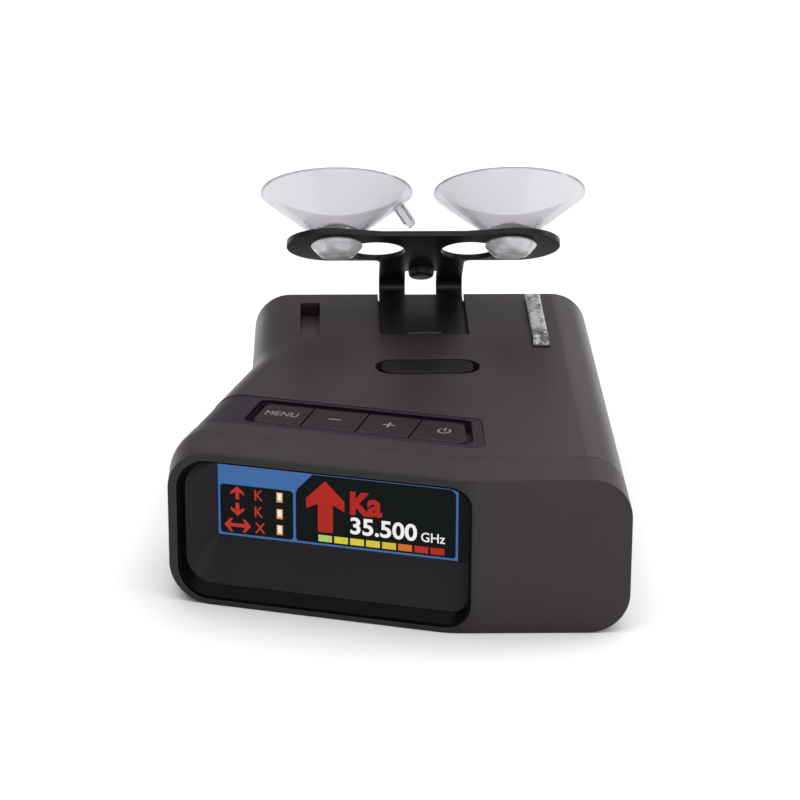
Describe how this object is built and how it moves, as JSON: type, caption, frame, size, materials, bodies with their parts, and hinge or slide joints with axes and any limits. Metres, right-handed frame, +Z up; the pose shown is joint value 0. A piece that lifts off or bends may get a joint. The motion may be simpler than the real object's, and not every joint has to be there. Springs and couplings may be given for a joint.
{
  "type": "radar detector",
  "caption": "Dashboard radar detector with a recessed screen angled to the driver, top keys, and a V bracket with clear suction cups.",
  "frame": {"origin": "middle of the flat underside of the case, half way along its length and width", "axes": "+Z up, +Y towards the road side (windshield), the driver's display face looks along -Y, +X to the driver's right when facing the screen"},
  "size_m": [0.0894, 0.1174, 0.0685],
  "materials": {
    "case_plastic": "fine spark texture",
    "bezel_plastic": "satin",
    "trim_gloss": "gloss",
    "hood_matt": "matt",
    "screen_glass": "clear over a dark screen",
    "screen_panel": "lit colour screen",
    "gasket_foam": "foam",
    "circuit_board": "solder mask",
    "flex_film": "film",
    "surround_plastic": "satin",
    "key_plastic": "satin with pale legends",
    "silicone": "silicone",
    "switch_metal": "plain",
    "lens_clear": "clear acrylic",
    "sensor_dark": "dark",
    "window_dark": "infra-red black",
    "horn_metal": "die cast",
    "can_metal": "tinned",
    "patch_ceramic": "ceramic patch",
    "speaker_black": "speaker",
    "socket_black": "socket",
    "socket_metal": "plated shell",
    "screw_steel": "black zinc",
    "label_stock": "blank label",
    "spring_steel": "spring",
    "bracket_paint": "satin black",
    "bumper_rubber": "rubber",
    "cup_vinyl": "clear flexible vinyl"
  },
  "bodies": {
    "case": {"top_cover": "case_plastic", "bottom_cover": "case_plastic", "display_bezel": "bezel_plastic", "display_trim": "trim_gloss", "display_hood": "hood_matt", "display_window": "screen_glass", "display_gasket": "gasket_foam", "display_panel": "screen_panel", "display_board": "circuit_board", "display_flex_cable": "flex_film", "keypad_surround": "surround_plastic", "key_board": "circuit_board", "keypad_mat": "silicone", "tact_switches": "switch_metal", "rear_laser_lens": "lens_clear", "rear_laser_sensor": "sensor_dark", "light_sensor_window": "window_dark", "light_sensor": "sensor_dark", "front_laser_window": "window_dark", "front_laser_sensor": "sensor_dark", "main_board": "circuit_board", "front_horn_antenna": "horn_metal", "rear_horn_antenna": "horn_metal", "rf_shield_can": "can_metal", "gps_antenna": "patch_ceramic", "speaker": "speaker_black", "power_jack": "socket_black", "audio_jack": "socket_black", "usb_port": "socket_metal", "case_screws": "screw_steel", "board_screws": "screw_steel", "rating_label": "label_stock", "dock_detent_spring": "spring_steel"},
    "bracket": {"windshield_bracket": "bracket_paint", "bracket_bumper": "bumper_rubber"},
    "cup_left": {"suction_cup_left": "cup_vinyl"},
    "cup_right": {"suction_cup_right": "cup_vinyl"},
    "key_menu_body": {"key_menu": "key_plastic"},
    "key_volume_down_body": {"key_volume_down": "key_plastic"},
    "key_volume_up_body": {"key_volume_up": "key_plastic"},
    "key_power_body": {"key_power": "key_plastic"},
    "mute_button_body": {"mute_button": "key_plastic"}
  },
  "joints": [
    {"name": "bracket_slide", "type": "slide", "parent": "case", "child": "bracket", "axis": [0, 1, 0], "range_m": [0, 0.035]},
    {"name": "left_cup_slide", "type": "slide", "parent": "bracket", "child": "cup_left", "axis": [0.8195, 0.4695, -0.3287], "range_m": [0, 0.0025]},
    {"name": "right_cup_slide", "type": "slide", "parent": "bracket", "child": "cup_right", "axis": [-0.8195, 0.4695, -0.3287], "range_m": [0, 0.0025]},
    {"name": "key_menu_press", "type": "slide", "parent": "case", "child": "key_menu_body", "axis": [0, 0, -1], "range_m": [0, 0.0005], "stiffness_N_per_m": 1000, "springref_m": -0.0003},
    {"name": "key_volume_down_press", "type": "slide", "parent": "case", "child": "key_volume_down_body", "axis": [0, 0, -1], "range_m": [0, 0.0005], "stiffness_N_per_m": 1000, "springref_m": -0.0003},
    {"name": "key_volume_up_press", "type": "slide", "parent": "case", "child": "key_volume_up_body", "axis": [0, 0, -1], "range_m": [0, 0.0005], "stiffness_N_per_m": 1000, "springref_m": -0.0003},
    {"name": "key_power_press", "type": "slide", "parent": "case", "child": "key_power_body", "axis": [0, 0, -1], "range_m": [0, 0.0005], "stiffness_N_per_m": 1000, "springref_m": -0.0003},
    {"name": "mute_button_press", "type": "slide", "parent": "case", "child": "mute_button_body", "axis": [0, 0, -1], "range_m": [0, 0.0005], "stiffness_N_per_m": 1000, "springref_m": -0.0003}
  ]
}
